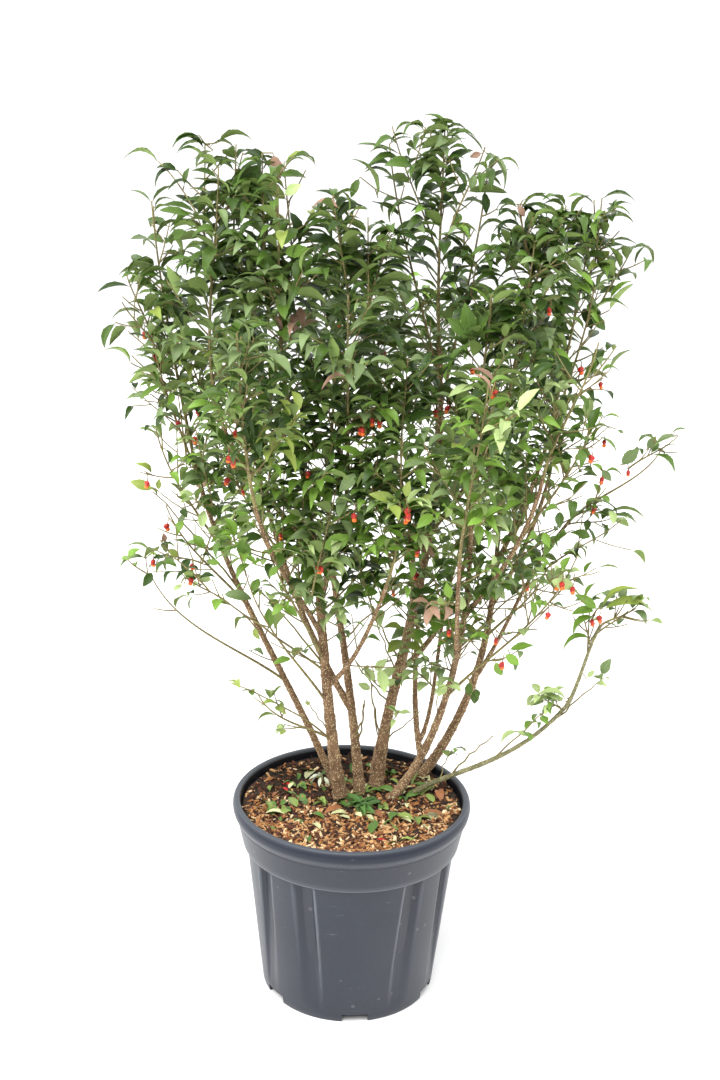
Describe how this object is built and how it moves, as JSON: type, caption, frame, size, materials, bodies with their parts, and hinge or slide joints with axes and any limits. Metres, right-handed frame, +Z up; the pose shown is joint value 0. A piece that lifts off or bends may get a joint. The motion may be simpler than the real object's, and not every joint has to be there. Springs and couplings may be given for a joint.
{
  "type": "potted shrub",
  "caption": "Dense upright shrub with several slender woody stems and hanging fruit, in a fluted round nursery pot.",
  "frame": {"origin": "middle of the flat foot under the pot", "axes": "+Z up along the pot's axis, -Y towards the front of the plant as pictured, +X to the viewer's right"},
  "size_m": [0.7988, 0.5922, 1.2458],
  "materials": {
    "pot": "satin, lightly scuffed",
    "mix": "loose bark chips",
    "bark": "rough",
    "leaves": "satin leaf"
  },
  "bodies": {
    "root": {"pot": "pot", "potting_mix": "mix", "stem_left": "bark", "stem_front_left": "bark", "stem_middle_left": "bark", "stem_middle": "bark", "stem_front_right": "bark", "stem_right": "bark", "stem_low_right": "bark", "stem_back": "bark", "bough_low_right_tip": "bark", "bough_left_inner": "bark", "bough_front_middle": "bark", "bough_front_low": "bark", "bough_front_left": "bark", "bough_left_back": "bark", "bough_middle_right": "bark", "bough_middle_top": "bark", "bough_back_right": "bark", "bough_back_low": "bark", "bough_right_front": "bark", "bough_front_right": "bark", "bough_right_upper": "bark", "bough_right_back": "bark", "bough_right_long": "bark", "foliage_left_top": "leaves", "foliage_left_inner_top": "leaves", "foliage_left_outer_top": "leaves", "foliage_left_outer": "leaves", "foliage_left_twig": "leaves", "foliage_left_low_twig": "leaves", "foliage_left_low": "leaves", "foliage_low_left_shoot": "leaves", "foliage_front_left_top": "leaves", "foliage_middle_left_top": "leaves", "foliage_left_back_top": "leaves", "foliage_left_back": "leaves", "foliage_front_left": "leaves", "foliage_front_left_low": "leaves", "foliage_top": "leaves", "foliage_top_left": "leaves", "foliage_top_right": "leaves", "foliage_front_middle": "leaves", "foliage_front_low": "leaves", "foliage_back": "leaves", "foliage_back_right": "leaves", "foliage_front_right_top": "leaves", "foliage_right_inner_top": "leaves", "foliage_right_top": "leaves", "foliage_right_outer_top": "leaves", "foliage_right_front": "leaves", "foliage_right_outer": "leaves", "foliage_right_back": "leaves", "foliage_middle_right": "leaves", "foliage_back_low": "leaves", "foliage_right_long_shoot": "leaves", "foliage_right_low": "leaves", "foliage_right_inner_low": "leaves", "foliage_low_right_shoot": "leaves", "foliage_front_right": "leaves"}
  },
  "joints": []
}
